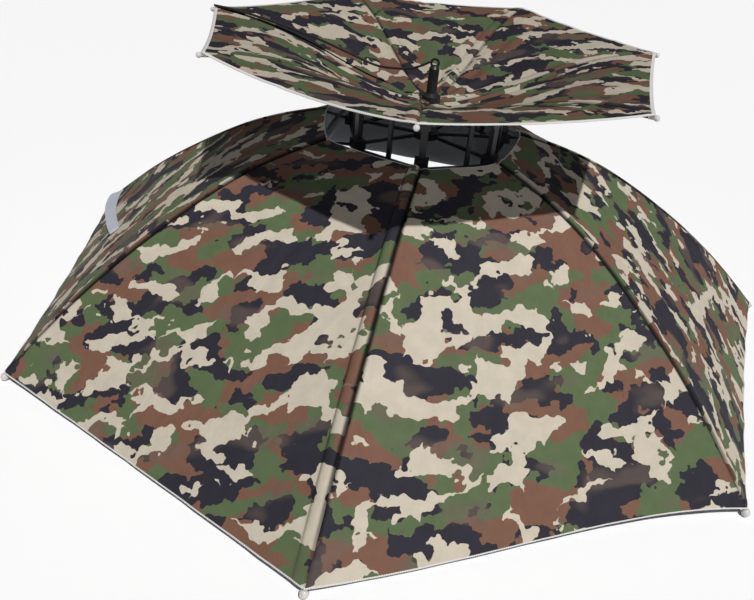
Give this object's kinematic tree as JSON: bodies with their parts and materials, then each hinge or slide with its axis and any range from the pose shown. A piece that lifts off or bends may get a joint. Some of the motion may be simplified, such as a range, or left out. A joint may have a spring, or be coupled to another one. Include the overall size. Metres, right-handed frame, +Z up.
{
  "type": "umbrella hat",
  "caption": "Open double-layer umbrella hat: a wide vented camouflage canopy and a small dished one above it, both on ribs from an open cage that sits on the head.",
  "frame": {"origin": "middle of the footprint, on the surface that the lower canopy's tips stand on", "axes": "+Z up along the post, -Y towards the front rib, +X to the wearer's left seen from the front, which is the right of the picture"},
  "size_m": [0.9424, 0.9298, 0.323],
  "materials": {
    "canopy_cloth": "woven polyester with a woodland camouflage print outside and a dark silver-grey coating inside",
    "rib_rod": "slim round ribs, dark satin",
    "cage_plastic": "moulded black plastic, satin",
    "tip_cap": "moulded off-white plastic",
    "cord": "braided black cord",
    "strap": "pale grey woven ribbon"
  },
  "bodies": {
    "root": {"lower_panel_1": "canopy_cloth", "upper_panel_1": "canopy_cloth", "lower_rib_1": "rib_rod", "upper_rib_1": "rib_rod", "lower_tip_1": "tip_cap", "upper_tip_1": "tip_cap", "cage_post_1": "cage_plastic", "lower_panel_2": "canopy_cloth", "upper_panel_2": "canopy_cloth", "lower_rib_2": "rib_rod", "upper_rib_2": "rib_rod", "lower_tip_2": "tip_cap", "upper_tip_2": "tip_cap", "cage_post_2": "cage_plastic", "lower_panel_3": "canopy_cloth", "upper_panel_3": "canopy_cloth", "lower_rib_3": "rib_rod", "upper_rib_3": "rib_rod", "lower_tip_3": "tip_cap", "upper_tip_3": "tip_cap", "cage_post_3": "cage_plastic", "lower_panel_4": "canopy_cloth", "upper_panel_4": "canopy_cloth", "lower_rib_4": "rib_rod", "upper_rib_4": "rib_rod", "lower_tip_4": "tip_cap", "upper_tip_4": "tip_cap", "cage_post_4": "cage_plastic", "lower_panel_5": "canopy_cloth", "upper_panel_5": "canopy_cloth", "lower_rib_5": "rib_rod", "upper_rib_5": "rib_rod", "lower_tip_5": "tip_cap", "upper_tip_5": "tip_cap", "cage_post_5": "cage_plastic", "lower_panel_6": "canopy_cloth", "upper_panel_6": "canopy_cloth", "lower_rib_6": "rib_rod", "upper_rib_6": "rib_rod", "lower_tip_6": "tip_cap", "upper_tip_6": "tip_cap", "cage_post_6": "cage_plastic", "lower_panel_7": "canopy_cloth", "upper_panel_7": "canopy_cloth", "lower_rib_7": "rib_rod", "upper_rib_7": "rib_rod", "lower_tip_7": "tip_cap", "upper_tip_7": "tip_cap", "cage_post_7": "cage_plastic", "cage_lower_ring": "cage_plastic", "cage_upper_ring": "cage_plastic", "spoked_hub": "cage_plastic", "hub_post": "cage_plastic", "rim_cord": "cord", "closing_strap": "strap"}
  },
  "joints": []
}
